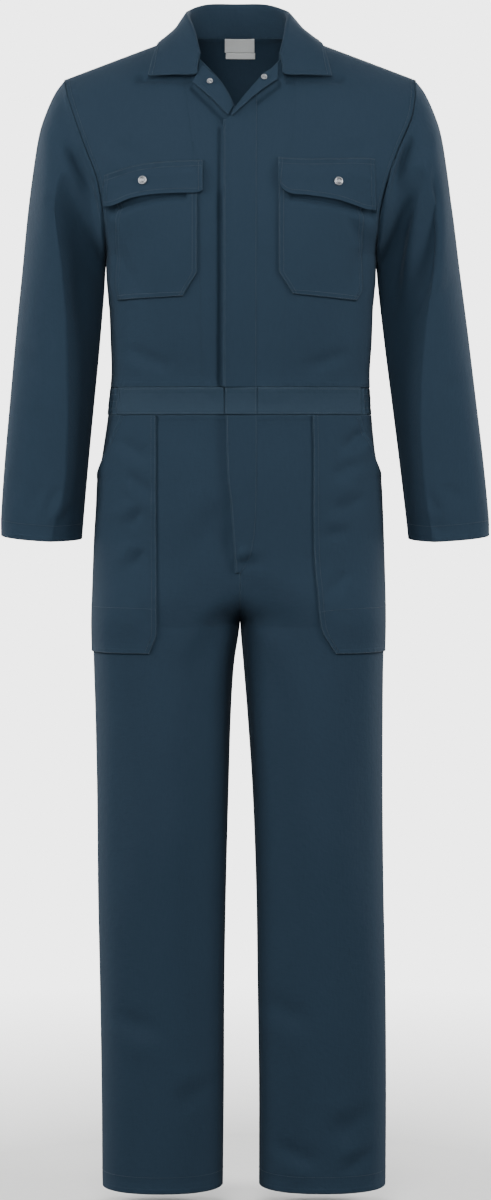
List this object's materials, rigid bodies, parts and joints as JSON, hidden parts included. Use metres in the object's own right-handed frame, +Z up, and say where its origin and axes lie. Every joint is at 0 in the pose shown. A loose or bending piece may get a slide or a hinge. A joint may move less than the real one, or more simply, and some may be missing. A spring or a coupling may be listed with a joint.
{
  "type": "boiler suit",
  "caption": "Hollow work coverall, filled out as worn, with turned-down collar, covered front, long sleeves, gathered back waist, flapped chest pockets and hip pockets.",
  "frame": {"origin": "between the wearer's shoulders, level with the shoulder line near the neck, where the worn suit is held up", "axes": "+X to the viewer's right, the wearer's left; +Y to the back; +Z up"},
  "size_m": [0.6641, 0.2496, 1.6201],
  "materials": {
    "twill": "dark petrol navy cotton twill",
    "band": "the same twill, doubled",
    "stud": "satin nickel press stud cap",
    "label": "white woven tape, blank"
  },
  "bodies": {
    "root": {"front_right": "twill", "sleeve_right": "twill", "leg_front_right": "twill", "leg_back_right": "twill", "waistband_right": "band", "lapel_right": "twill", "chest_pocket_right": "twill", "pocket_flap_right": "twill", "hip_pocket_right": "twill", "stud_neck_right": "stud", "stud_flap_right": "stud", "front_left": "twill", "sleeve_left": "twill", "leg_front_left": "twill", "leg_back_left": "twill", "waistband_left": "band", "lapel_left": "twill", "chest_pocket_left": "twill", "pocket_flap_left": "twill", "hip_pocket_left": "twill", "stud_neck_left": "stud", "stud_flap_left": "stud", "back": "twill", "waistband_lap": "band", "waistband_back": "band", "placket_upper": "twill", "fly_lower": "twill", "collar": "twill", "label": "label", "label_strip": "label"}
  },
  "joints": []
}
